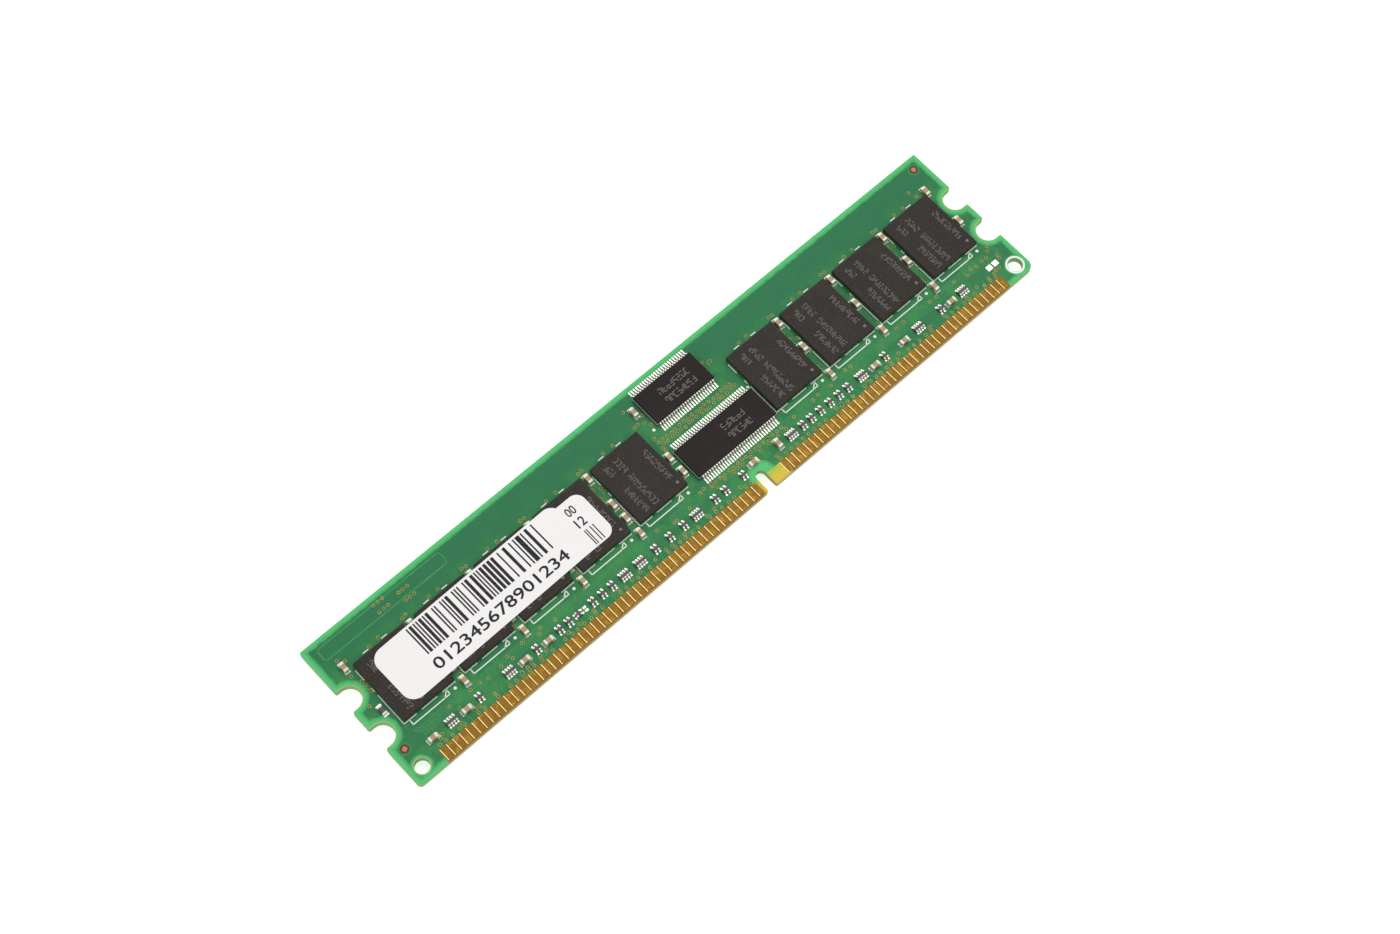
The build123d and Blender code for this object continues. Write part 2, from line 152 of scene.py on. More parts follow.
class LayoutSettings(bpy.types.PropertyGroup):
    notch_inset: length("Notch inset", "Centre of a latch notch from the board's end", 1.0 * MM)
    notch_radius: length("Notch radius", "Radius of a latch notch", 2.0 * MM)
    lower_notch: length("Lower notch", "Height of the lower notch", 10.0 * MM)
    upper_notch: length("Upper notch", "Height of the upper notch", 17.8 * MM)
    hole_inset: length("Hole inset", "Centre of a hole from both edges", 2.3 * MM)
    hole_radius: length("Hole radius", "Radius of a hole", 1.25 * MM)
    slot_centre: length("Slot centre", "Key slot from the left end", 73.25 * MM)
    slot_depth: length("Slot depth", "Depth of the key slot", 3.7 * MM)
    contact_pitch: length("Contact pitch", "Distance between contacts", 1.27 * MM)
    contact_first: length("First contact", "First contact from the left end", 6.35 * MM)
    via_outer: length("Via ring", "Outer radius of a via's ring", 0.30 * MM)
    via_hole: length("Via hole", "Radius of a via's hole", 0.17 * MM)
    parting: length("Parting height", "Where a package's two halves meet", 0.61 * MM)
    # The band at the parting height is a painted highlight, not moulding flash.
    highlight_band: length("Highlight band", "Thickness of the painted highlight band along that line", 0.12 * MM)
    line: length("Legend line", "Width of a printed legend line", 0.175 * MM)
    trace: length("Trace", "Width of a fine trace", 0.13 * MM)


# ---------------------------------------------------------------- mesh helpers


def place(x, y):
    """Module coordinates from millimetres along the board and above its contact edge."""
    return BOARD_LOW.x + x * MM, BOARD_LOW.y + y * MM


def extent(name):
    """Left, bottom, right and top of a CAD node, in the same millimetres."""
    return [(corner[axis] - BOARD_LOW[axis]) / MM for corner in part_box(name) for axis in (0, 1)]


def face_height(face):
    return BOARD_HIGH.z if face == "front" else BOARD_LOW.z


def outward(face):
    return 1 if face == "front" else -1


def join_loops(mesh, first, second):
    """Walls between two outlines with the same number of corners."""
    for i in range(len(first)):
        j = (i + 1) % len(first)
        mesh.faces.new((first[i], first[j], second[j], second[i]))


def add_prism(mesh, outline, base, top, turn=Matrix()):
    """A closed prism over a flat outline, between two heights."""
    low, high = ([mesh.verts.new(turn @ Vector((x, y, z))) for x, y in outline] for z in (base, top))
    mesh.faces.new(high)
    mesh.faces.new(low[::-1])
    join_loops(mesh, low, high)


def add_stroke(mesh, start, end, width, base, height):
    """A flat bar from one point to another, standing on a height."""
    along = (Vector(end) - Vector(start)).normalized()
    side = Vector((-along.y, along.x)) * width / 2
    corners = [Vector(start) - side, Vector(end) - side, Vector(end) + side, Vector(start) + side]
    add_prism(mesh, corners, base, base + height)


def add_path(mesh, points, width, base, height, closed=False):
    """Strokes through a list of places on the board."""
    for start, end in zip(points, points[1:] + points[:1] if closed else points[1:]):
        add_stroke(mesh, place(*start), place(*end), width, base, height)


def add_ring(mesh, centre, inner, outer, base, height, steps=20):
    """A flat ring, or a disc where its inner radius is nought."""
    turns = [2 * math.pi * i / steps for i in range(steps)]

    def circle(radius):
        return [(centre[0] + radius * math.cos(t), centre[1] + radius * math.sin(t)) for t in turns]

    if inner <= 0:
        add_prism(mesh, circle(outer), base, base + height)
        return
    corners = ((outer, base), (outer, base + height), (inner, base + height), (inner, base))
    loops = [[mesh.verts.new((x, y, z)) for x, y in circle(radius)] for radius, z in corners]
    for first, second in zip(loops, loops[1:] + loops[:1]):
        join_loops(mesh, first, second)


def finish_piece(name, mesh, material, bevel=0.0):
    """Turns the working mesh into a piece that rides on the module."""
    bmesh.ops.recalc_face_normals(mesh, faces=mesh.faces)
    data = bpy.data.meshes.new(name)
    mesh.to_mesh(data)
    mesh.free()
    data.materials.append(material)
    piece = bpy.data.objects.new(name, data)
    bpy.context.scene.collection.objects.link(piece)
    if bevel:
        round_edges(piece, bevel)
    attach(piece, "root")


def round_edges(piece, width, segments=2):
    bevel = piece.modifiers.new("rounded edges", "BEVEL")
    bevel.width = width
    bevel.segments = segments
    bevel.limit_method = "ANGLE"
    bevel.angle_limit = math.radians(35)
    bevel.harden_normals = True


def paint(node_name, material, bevel=0.0, segments=2):
    """Gives a CAD node its finish, and softens its edges where asked."""
    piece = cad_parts[node_name]
    piece.data.materials.clear()
    piece.data.materials.append(material)
    if bevel:
        round_edges(piece, bevel, segments)


# ---------------------------------------------------------------- shader helpers


class Field:
    """A number that changes over a surface. Arithmetic on it adds Math nodes."""

    def __init__(self, tree, socket):
        self.tree = tree
        self.socket = socket

    def __add__(self, other):
        return maths(self.tree, "ADD", self, other)

    def __sub__(self, other):
        return maths(self.tree, "SUBTRACT", self, other)

    def __rsub__(self, other):
        return maths(self.tree, "SUBTRACT", other, self)

    def __mul__(self, other):
        return maths(self.tree, "MULTIPLY", self, other)

    def __abs__(self):
        return maths(self.tree, "ABSOLUTE", self)

    def least(self, other):
        return maths(self.tree, "MINIMUM", self, other)

    def most(self, other):
        return maths(self.tree, "MAXIMUM", self, other)

    def ease(self, low, high, to_low=0.0, to_high=1.0):
        """Maps it from one range to another, easing at both ends."""
        node = self.tree.nodes.new("ShaderNodeMapRange")
        node.interpolation_type = "SMOOTHSTEP"
        for socket, number in zip(node.inputs, (self, low, high, to_low, to_high)):
            put(self.tree, socket, number)
        return Field(self.tree, node.outputs[0])


def put(tree, socket, value):
    """Feeds a socket from a field or another socket, or sets it to a plain number or colour."""
    if isinstance(value, Field):
        value = value.socket
    if isinstance(value, bpy.types.NodeSocket):
        tree.links.new(value, socket)
    elif socket.type == "RGBA":
        socket.default_value = (*value, 1)
    else:
        socket.default_value = value


def maths(tree, operation, *values, clamp=False):
    node = tree.nodes.new("ShaderNodeMath")
    node.operation = operation
    node.use_clamp = clamp
    for socket, value in zip(node.inputs, values):
        put(tree, socket, value)
    return Field(tree, node.outputs[0])


def object_point(tree):
    """The point being shaded, in metres from the module's origin."""
    return tree.nodes.new("ShaderNodeTexCoord").outputs["Object"]


def components(tree, vector):
    """A vector's X, Y and Z as fields."""
    node = tree.nodes.new("ShaderNodeSeparateXYZ")
    tree.links.new(vector, node.inputs[0])
    return [Field(tree, output) for output in node.outputs]


def noise(tree, frequency, detail=2.0, roughness=0.5, point=None):
    """Noise with about so many features to a metre."""
    node = tree.nodes.new("ShaderNodeTexNoise")
    put(tree, node.inputs["Vector"], object_point(tree) if point is None else point)
    put(tree, node.inputs["Scale"], frequency)
    node.inputs["Detail"].default_value = detail
    node.inputs["Roughness"].default_value = roughness
    return Field(tree, node.outputs["Fac"])


def new_group(name, inputs):
    """An empty shader group, its inputs as fields, and the socket of its one mask."""
    tree = bpy.data.node_groups.new(name, "ShaderNodeTree")
    for label, value in inputs.items():
        socket = tree.interface.new_socket(name=label, in_out="INPUT", socket_type="NodeSocketFloat")
        socket.default_value = value
    tree.interface.new_socket(name=name, in_out="OUTPUT", socket_type="NodeSocketFloat")
    source = tree.nodes.new("NodeGroupInput")
    fields = [Field(tree, source.outputs[label]) for label in inputs]
    return tree, *fields, tree.nodes.new("NodeGroupOutput").inputs[0]


def build_grain_group():
    """Grain: fine speckle, from 0 to 1, about an even middle."""
    tree, frequency, contrast, result = new_group("Grain", {"Frequency": 9000.0, "Contrast": 2.0})
    fine = noise(tree, frequency, detail=3.0, roughness=0.7)
    put(tree, result, maths(tree, "MULTIPLY_ADD", fine - 0.5, contrast, 0.5, clamp=True))


def build_smudge_group():
    """Smudge: broad soft patches of handling and uneven finish, from 0 to 1."""
    tree, frequency, cover, result = new_group("Smudge", {"Frequency": 300.0, "Cover": 0.5})
    low = 0.75 - cover * 0.5
    put(tree, result, noise(tree, frequency, detail=4.0, roughness=0.6).ease(low, low + 0.16))


def build_streak_group():
    """Streak: wear that runs across the board, the way the module slides into its socket."""
    tree, frequency, cover, result = new_group("Streak", {"Frequency": 1600.0, "Cover": 0.5})
    stretch = tree.nodes.new("ShaderNodeVectorMath")
    stretch.operation = "MULTIPLY"
    tree.links.new(object_point(tree), stretch.inputs[0])
    stretch.inputs[1].default_value = (1.0, 0.18, 1.0)
    low = 0.72 - cover * 0.4
    lines = noise(tree, frequency, detail=3.0, roughness=0.65, point=stretch.outputs[0])
    put(tree, result, lines.ease(low, low + 0.18))


class Finish:
    """A material being made: its Principled shader and what feeds it."""

    def __init__(self, name, metallic=0.0, specular=0.5):
        self.material = bpy.data.materials.new(name)
        self.material.use_nodes = True
        self.tree = self.material.node_tree
        self.shader = next(n for n in self.tree.nodes if n.type == "BSDF_PRINCIPLED")
        self.shader.inputs["Metallic"].default_value = metallic
        self.shader.inputs["Specular IOR Level"].default_value = specular

    def effect(self, name, **values):
        node = self.tree.nodes.new("ShaderNodeGroup")
        node.node_tree = bpy.data.node_groups[name]
        for label, value in values.items():
            put(self.tree, node.inputs[label], value)
        return Field(self.tree, node.outputs[0])

    def grain(self, frequency, contrast):
        return self.effect("Grain", Frequency=frequency, Contrast=contrast)

    def smudge(self, frequency, cover):
        return self.effect("Smudge", Frequency=frequency, Cover=cover)

    def mix(self, share, first, second):
        """Mixes two colours by a mask."""
        node = self.tree.nodes.new("ShaderNodeMix")
        node.data_type = "RGBA"
        for index, value in ((0, share), (6, first), (7, second)):
            put(self.tree, node.inputs[index], value)
        return node.outputs[2]

    def colour(self, value):
        put(self.tree, self.shader.inputs["Base Color"], value)

    def rough(self, mask, low, high, top=1):
        put(self.tree, self.shader.inputs["Roughness"], mask.ease(0, top, low, high))

    def bump(self, height, strength, distance):
        node = self.tree.nodes.new("ShaderNodeBump")
        node.inputs["Strength"].default_value = strength
        node.inputs["Distance"].default_value = distance
        put(self.tree, node.inputs["Height"], height)
        self.tree.links.new(node.outputs[0], self.shader.inputs["Normal"])


# ---------------------------------------------------------------- materials


def cut_distance(across, up, radius):
    """Distance in millimetres outside a round-ended cut, from its offsets across and up."""
    return maths(across.tree, "SQRT", across * across + up * up) - radius


def board_distances(x, y):
    """Distances in millimetres from the nearest edge or cut, and from the nearest notch or hole."""
    layout = bpy.context.scene.module_layout
    along = abs(x)
    across = (HALF_LENGTH - layout.notch_inset / MM - along).most(0)
    lower, upper = (
        cut_distance(across, y - height / MM, layout.notch_radius / MM)
        for height in (layout.lower_notch, layout.upper_notch)
    )
    notch = lower.least(upper)
    inset = layout.hole_inset / MM
    hole = cut_distance(along - (HALF_LENGTH - inset), y - inset, layout.hole_radius / MM)
    # The pale mask spreads further right of the slot than left of it, and less round a hole.
    slot_x = layout.slot_centre / MM - HALF_LENGTH + 0.35
    rise = (y - (layout.slot_depth / MM - 0.9)).most(0)
    slot = cut_distance(x - slot_x, rise, 1.45)
    edge = (HALF_LENGTH - along).least(WIDTH - y).least(y)
    return edge.least(notch).least(hole + 0.45).least(slot), notch.least(hole)


def mask_colour(finish, x, y, grain):
    """Dark mask over copper planes, brighter over fine traces and brightest over bare laminate."""
    board = bpy.context.scene.module_board
    distance, from_cut = board_distances(x, y)
    uneven = noise(finish.tree, 1 / (1.1 * MM), detail=3.0)
    distance = distance + (uneven - 0.5) * 0.5
    border = board.border / MM
    edge = distance.ease(border - 0.18, border + 0.2, 1.0, 0.0)
    rim = finish.mix(distance.ease(0.25, border), board.mask_border, board.mask_inner)
    routed = y.ease(20.5, 24.5, 1.0, 0.12) * 0.75
    routed = (routed * finish.smudge(260, 0.62) + routed * 0.35).least(1.0)
    mask = finish.mix(edge, finish.mix(routed, board.mask, board.mask_routed), rim)
    mask = finish.mix(from_cut.ease(0.06, 0.34, 0.75, 0.0), mask, board.mask_rim)
    return finish.mix(grain * 0.16, mask, (0.20, 0.42, 0.26))


def laminate_colour(finish, x, y):
    """Brown laminate between the contacts, and a bright window of it beside the key slot."""
    window = abs(x - (WINDOW - HALF_LENGTH)).ease(2.4, 3.4, 1.0, 0.0)
    soft = noise(finish.tree, 1 / (0.9 * MM))
    laminate = bpy.context.scene.module_board.laminate
    glow = finish.mix((y + soft).ease(1.4, 3.4), laminate, (0.42, 0.56, 0.08))
    return finish.mix(window, (0.30, 0.14, 0.024), glow)


def board_material():
    """Green mask on both faces, bare laminate at the contacts, and the cut edges."""
    board = bpy.context.scene.module_board
    finish = Finish("green solder mask and laminate", specular=0.07)
    tree = finish.tree
    x, y, _ = components(tree, object_point(tree))
    x = x * (1 / MM)
    y = y * (1 / MM) + WIDTH / 2
    between_ends = maths(tree, "LESS_THAN", abs(x), HALF_LENGTH - MASKED_END)
    bare_top = board.bare_height / MM
    bare = y.ease(bare_top - 0.06, bare_top + 0.1, 1.0, 0.0) * between_ends
    grain = finish.grain(5200, 1.6)
    face = finish.mix(bare, mask_colour(finish, x, y, grain), laminate_colour(finish, x, y))

    normal = tree.nodes.new("ShaderNodeNewGeometry").outputs["Normal"]
    side = abs(components(tree, normal)[2]).ease(0.3, 0.9, 1.0, 0.0)
    cut = finish.mix(bare, board.laminate_side, board.laminate_foot)
    cut = finish.mix(finish.grain(9000, 3.0) * 0.4, cut, (0.42, 0.44, 0.25))
    finish.colour(finish.mix(side, face, cut))

    weave = tree.nodes.new("ShaderNodeTexWave")
    weave.inputs["Scale"].default_value = 0.16 / board.weave
    weave.inputs["Distortion"].default_value = 1.2
    weave.bands_direction = "DIAGONAL"
    tree.links.new(object_point(tree), weave.inputs["Vector"])
    finish.bump(Field(tree, weave.outputs["Fac"]) * 0.35 + grain, 0.22, 0.012 * MM)
    finish.rough(finish.smudge(420, 0.5) * 0.25 + bare.most(side), 0.33, 0.72, top=1.25)
    return finish.material


def gold_material():
    """Thin gold, worn by the socket's springs and stained brown between the strokes."""
    metal = bpy.context.scene.module_metal
    finish = Finish("worn gold plating", metallic=0.55, specular=0.2)
    streak = finish.effect("Streak", Frequency=1500.0, Cover=0.75)
    dark = (streak * 0.45).most(finish.smudge(900, 0.72) * 0.5)
    tint = finish.mix(finish.smudge(500, 0.4), metal.gold, (0.255, 0.152, 0.013))
    finish.colour(finish.mix(dark, tint, metal.gold_stain))
    grain = finish.grain(14000, 2.0)
    finish.rough(grain + dark, 0.3, 0.55, top=2)
    finish.bump(grain + streak, 0.35, 0.006 * MM)
    return finish.material


def bright_metal(name, base, low, high, relief, metallic=0.6):
    """Tin or solder: pale, slightly uneven, with fine grain."""
    finish = Finish(name, metallic)
    finish.colour(finish.mix(finish.smudge(1800, 0.5) * 0.3, base, [c * 0.8 for c in base]))
    grain = finish.grain(16000, 2.5)
    finish.rough(grain, low, high)
    finish.bump(grain, relief, 0.008 * MM)
    return finish.material


def moulding_material(name, base, frequency, contrast, low, high, relief, flecks=0.0, sheen=0.16):
    """Epoxy moulding compound, speckled by its filler."""
    finish = Finish(name, specular=sheen)
    grain = finish.grain(frequency, contrast)
    pale = [min(1.0, c * 2.9 + 0.004) for c in base]
    speckled = finish.mix(grain * 0.55, base, pale)
    handled = finish.mix(finish.smudge(240, 0.5) * 0.18, speckled, pale)
    finish.colour(finish.mix(finish.smudge(4600, 0.42) * flecks, handled, (0.125, 0.105, 0.095)))
    finish.rough(grain, low, high)
    finish.bump(grain, relief, 0.01 * MM)
    return finish.material


def ceramic_material():
    finish = Finish("fired capacitor ceramic")
    ceramic = bpy.context.scene.module_package.ceramic
    grain = finish.grain(22000, 2.0)
    body = finish.mix(finish.smudge(1500, 0.55) * 0.35, ceramic, (0.56, 0.415, 0.25))
    finish.colour(finish.mix(grain * 0.25, body, (0.25, 0.14, 0.08)))
    finish.rough(grain, 0.38, 0.6)
    finish.bump(grain, 0.3, 0.006 * MM)
    return finish.material


def glaze_material():
    finish = Finish("black resistor glaze")
    grain = finish.grain(18000, 2.0)
    finish.colour(finish.mix(grain * 0.3, bpy.context.scene.module_package.glaze, (0.05, 0.045, 0.045)))
    finish.rough(grain, 0.22, 0.4)
    finish.bump(grain, 0.2, 0.004 * MM)
    return finish.material


def paper_material():
    finish = Finish("coated label paper")
    fibre = finish.grain(7000, 1.6)
    base = finish.mix(fibre * 0.10, bpy.context.scene.module_label.paper, (0.80, 0.785, 0.77))
    finish.colour(finish.mix(finish.smudge(160, 0.45) * 0.10, base, (0.86, 0.84, 0.82)))
    finish.rough(fibre, 0.5, 0.68)
    finish.bump(fibre, 0.25, 0.01 * MM)
    return finish.material


def ink_material(name, base, pale, worn):
    """Print with small voids where the ribbon missed, shown as a paler tint."""
    finish = Finish(name, specular=0.15)
    voids = finish.grain(11000, 4.0)
    finish.colour(finish.mix(voids.ease(1.0 - worn, 1.0), base, pale))
    finish.rough(voids, 0.4, 0.65)
    return finish.material


def legend_material():
    finish = Finish("white printed legend")
    grain = finish.grain(12000, 2.5)
    finish.colour(finish.mix(grain * 0.22, (0.90, 0.96, 0.90), (0.55, 0.76, 0.60)))
    finish.rough(grain, 0.45, 0.7)
    finish.bump(grain, 0.2, 0.005 * MM)
    return finish.material


def covered_copper_material(name, base, pale):
    """Copper under a film of mask: traces and rings."""
    finish = Finish(name, specular=0.1)
    finish.colour(finish.mix(finish.smudge(1100, 0.5), base, pale))
    finish.rough(finish.grain(12000, 2.0), 0.3, 0.5)
    return finish.material


def bare_copper_material():
    finish = Finish("bare copper", metallic=0.6)
    copper = bpy.context.scene.module_metal.copper
    finish.colour(finish.mix(finish.smudge(2500, 0.5), copper, (0.37, 0.14, 0.08)))
    finish.rough(finish.grain(15000, 2.0), 0.3, 0.5)
    return finish.material


def silicon_material():
    finish = Finish("polished silicon", metallic=0.7)
    patches = finish.smudge(1500, 0.5)
    finish.colour(finish.mix(patches, (0.20, 0.21, 0.25), (0.30, 0.28, 0.34)))
    finish.rough(patches, 0.12, 0.2)
    return finish.material


# ---------------------------------------------------------------- pieces


def paint_board():
    paint("circuit_board", board_material())
    gold = gold_material()
    for face in FACES:
        make_contact_glints(face)
        for row in ROWS:
            paint(f"{face}_contacts_{row}_row", gold, bevel=0.035 * MM)


def paint_packages():
    package = bpy.context.scene.module_package
    memory = moulding_material("matt memory moulding", package.memory, 3800, 4.2, 0.55, 0.8, 0.5, 0.6)
    logic = moulding_material(
        "smooth logic moulding", package.logic, 6000, 2.4, 0.42, 0.62, 0.25, flecks=0.12, sheen=0.08
    )
    substrate = moulding_material("dark package substrate", (0.025, 0.06, 0.03), 9000, 1.5, 0.4, 0.6, 0.2)
    silicon = silicon_material()
    for face in FACES:
        for number in PACKAGES:
            paint(f"{face}_memory_chip_{number}", memory, bevel=0.05 * MM)
        paint(f"{face}_memory_substrates", substrate)
        paint(f"{face}_memory_dies", silicon)
    for name in LEADED:
        paint(f"{name}_body", logic)
        paint(f"{name}_die", silicon)
    make_parting_highlight()


def make_parting_highlight():
    """A painted highlight: a thin pale band round each leaded package where the two halves of its moulding
    meet, standing in for the light that edge catches.
    """
    mesh = bmesh.new()
    layout = bpy.context.scene.module_layout
    for name, face in LEADED.items():
        left, bottom, right, top = extent(f"{name}_body")
        base = face_height(face) + outward(face) * layout.parting - layout.highlight_band / 2
        corners = [(left, bottom), (right, bottom), (right, top), (left, top)]
        add_path(mesh, corners, layout.highlight_band, base, layout.highlight_band, closed=True)
    # The pale band's colour is a painted highlight along the parting line.
    highlight_band = moulding_material("painted parting highlight", (0.30, 0.29, 0.28), 9000, 2.0, 0.4, 0.6, 0.2)
    finish_piece("package_parting_highlight", mesh, highlight_band)


def paint_metal():
    metal = bpy.context.scene.module_metal
    tin = bright_metal("matt tin plating", metal.tin, 0.28, 0.45, 0.35, metallic=0.3)
    caps = bright_metal("tinned end caps", metal.caps, 0.35, 0.55, 0.35, metallic=0.3)
    solder = bright_metal("reflowed solder", metal.solder, 0.2, 0.38, 0.25)
    for name in LEADED:
        paint(f"{name}_leads", tin)
    ceramic = ceramic_material()
    glaze = glaze_material()
    for face in FACES:
        paint(f"{face}_memory_balls", solder)
        paint(f"{face}_solder_pads", solder, bevel=0.02 * MM, segments=1)
        paint(f"{face}_capacitor_ends", caps, bevel=0.06 * MM)
        paint(f"{face}_capacitor_bodies", ceramic, bevel=0.04 * MM)
        for kind in ("array", "resistor"):
            paint(f"{face}_{kind}_ends", caps, bevel=0.03 * MM)
            paint(f"{face}_{kind}_bodies", glaze, bevel=0.02 * MM, segments=1)


def make_contact_glints(face):
    """A painted highlight: a bright strip along the left side of every contact, standing in for the glint of
    its edge.
    """
    glint_width, inset = 0.11 * MM, 0.03 * MM
    mesh = bmesh.new()
    for row in ROWS:
        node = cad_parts[f"{face}_contacts_{row}_row"]
        sides = sorted({round((node.matrix_world @ v.co).x / MM, 3) for v in node.data.vertices})
        low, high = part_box(node.name)
        top = high.z if face == "front" else low.z
        # Two sides closer than half a millimetre have a gap between them, not a contact.
        lefts = [x for i, x in enumerate(sides) if i == 0 or x - sides[i - 1] < 0.5]
        for x in lefts:
            middle = x * MM + glint_width / 2
            start, end = (middle, low.y + inset), (middle, high.y - inset)
            add_stroke(mesh, start, end, glint_width, top, outward(face) * 0.008 * MM)
    # This colour is the painted glint along the contact's edge, not wear.
    worn = bpy.context.scene.module_metal.rim
    rim = bright_metal(f"painted contact glint {face}", worn, 0.3, 0.5, 0.2, metallic=0.3)
    finish_piece(f"{face}_contact_glints", mesh, rim)


def contact_places():
    """Each contact's number and its place along the board in millimetres."""
    layout = bpy.context.scene.module_layout
    places = [(i, (layout.contact_first + i * layout.contact_pitch) / MM) for i in range(CONTACT_PLACES)]
    return [(i, x) for i, x in places if not SLOT_GAP[0] < x < SLOT_GAP[1]]


# Heights of the vias between two packages, and places of those that stand in no row.
GAP_VIAS = (9.9, 10.7, 12.75, 13.4, 16.05, 16.75, 17.45, 18.15, 18.85)
LONE_VIAS = (
    *((x, y) for y in (27.0, 25.5) for x in (13.4, 14.3, 15.2)),
    *((x, y) for y in (26.0, 24.3) for x in (17.7, 18.5, 19.4)),
    (4.25, 16.55), (4.3, 17.25), (4.25, 17.95), (4.2, 18.7), (7.75, 4.1), (7.2, 3.75), (12.4, 5.4),
    (3.5, 23.75), (3.45, 20.35), (4.35, 22.9), (2.5, 14.85), (64.3, 25.6), (66.1, 23.2), (65.6, 22.0),
    (66.2, 21.0), (79.8, 23.7), (80.6, 23.0), (81.0, 23.1), (127.9, 3.75), (128.7, 3.75), (130.0, 5.0),
    (130.1, 5.6), (127.4, 6.5), (128.3, 6.4), (129.4, 7.2), (130.0, 7.9), (127.4, 23.8), (127.9, 22.4),
)


def via_places(face):
    """Vias over the contacts, round the packages and between the leaded chips."""
    draw = random.Random(11 if face == "front" else 12)

    def near(x, y, across=0.0, down=0.0, up=0.0):
        """A place off a row by up to so much across, down and up."""
        shift = draw.uniform(-across, across) if across else 0.0
        return x + shift, y + draw.uniform(-down, up)

    spots = []
    for _, x in contact_places():
        if draw.random() < 0.8:
            spots.append((x + draw.uniform(-0.1, 0.25), 2.95 + draw.uniform(-0.04, 0.1)))
        if draw.random() < 0.4:
            spots.append(near(x, 3.45, 0.5, 0.1, 0.2))
        if draw.random() < 0.42:
            spots.append(near(x, 6.4, 0.5, 0.4, 1.0))
    for number in PACKAGES:
        left, _, right, top = extent(f"{face}_memory_chip_{number}")
        middle = (left + right) / 2
        spots += [near(middle + shift, top + 0.95, 0.15, 0.08, 0.15) for shift in (-1.2, 0.7)]
        spots += [near(middle + shift, top + 0.95, up=0.2) for shift in (5.6, 6.35)]
        for y in GAP_VIAS:
            if number < PACKAGES[-1] and draw.random() < 0.7:
                spots.append((middle + 6.0 + draw.choice((-0.55, 0.6)), y + draw.uniform(-0.12, 0.12)))
    # Two rows between the clock chip and the register, and two under the register.
    for i in range(18):
        x = 64.9 + i * 0.92
        spots.append(near(x, 17.9, 0.15, 0.12, 0.15))
        spots.append(near(x + 0.45, 17.15, 0.2, 0.15, 0.12))
    for i in range(17):
        spots.append(near(66.2 + i * 0.95, 6.75, 0.15, 0.1, 0.15))
        if i % 2 == 0:
            spots.append(near(66.7 + i * 0.95, 6.1, down=0.1, up=0.15))
    return spots + list(LONE_VIAS)


def make_vias(face):
    """Mask-covered rings of the plated holes that no package hides, each with its dark hole."""
    layout = bpy.context.scene.module_layout
    rings, holes = bmesh.new(), bmesh.new()
    base, up = face_height(face), outward(face)
    covers = [extent(f"{face}_memory_chip_{number}") for number in PACKAGES]
    covers += [extent(f"{name}_body") for name, side in LEADED.items() if side == face]
    margin = 0.12
    for x, y in via_places(face):
        if any(l - margin < x < r + margin and b - margin < y < t + margin for l, b, r, t in covers):
            continue
        add_ring(rings, place(x, y), layout.via_hole, layout.via_outer, base, up * RING, steps=16)
        add_ring(holes, place(x, y), 0, layout.via_hole * 1.02, base, up * PRINT, steps=12)
    copper = bpy.context.scene.module_metal.ring
    ring = covered_copper_material(f"mask over via copper {face}", copper, (0.50, 0.42, 0.16))
    dark = covered_copper_material(f"plugged via hole {face}", (0.020, 0.13, 0.050), (0.07, 0.11, 0.04))
    finish_piece(f"{face}_via_rings", rings, ring)
    finish_piece(f"{face}_via_holes", holes, dark)


# Outline of the wide track at the board's top left, with its corners cut off.
TRACK = [
    (2.6, 24.8), (26.3, 24.8), (26.7, 25.2), (26.7, 26.7),
    (26.3, 27.1), (2.6, 27.1), (2.2, 26.7), (2.2, 25.2),
]


def make_traces(face):
    """Fine traces under the mask, from the contacts to the resistors and on to the packages."""
    width = bpy.context.scene.module_layout.trace
    draw = random.Random(21 if face == "front" else 22)
    mesh = bmesh.new()
    base = face_height(face)
    rise = outward(face) * TRACE
    lean = 1
    for i, x in contact_places():
        # Traces lean the same way for eight contacts at a time.
        if i % 8 == 0:
            lean = draw.choice((-1, 1))
        add_path(mesh, [(x, 2.45), (x, 3.2), (x + lean * 0.4, 3.9)], width, base, rise)
        for column in (x - 0.42, x, x + 0.42):
            add_path(mesh, [(column, 5.6), (column, 6.3), (column + lean * 1.1, 7.5)], width, base, rise)
    add_path(mesh, TRACK, 0.22 * MM, base, rise, closed=True)
    trace = covered_copper_material(f"mask over traces {face}", (0.050, 0.300, 0.095), (0.110, 0.310, 0.110))
    finish_piece(f"{face}_traces", mesh, trace)


def make_marks(face):
    """Bare copper alignment discs, each in a dark clearance ring and a pale one."""
    copper, clearance, halo = bmesh.new(), bmesh.new(), bmesh.new()
    base, up = face_height(face), outward(face) * MM
    for spot in ((2.07, 6.1), (131.2, 26.45)):
        for mesh, inner, outer, rise in (
            (copper, 0, 0.42, 0.02), (clearance, 0.42, 0.76, 0.012), (halo, 0.76, 1.08, 0.008)
        ):
            add_ring(mesh, place(*spot), inner * MM, outer * MM, base, up * rise, steps=32)
    finish_piece(f"{face}_alignment_marks", copper, bare_copper_material())
    dark = covered_copper_material(f"clearance laminate {face}", (0.110, 0.060, 0.022), (0.075, 0.045, 0.020))
    finish_piece(f"{face}_mark_clearances", clearance, dark)
    pale = covered_copper_material(f"mask round mark {face}", (0.040, 0.250, 0.075), (0.055, 0.270, 0.085))
    finish_piece(f"{face}_mark_halos", halo, pale)


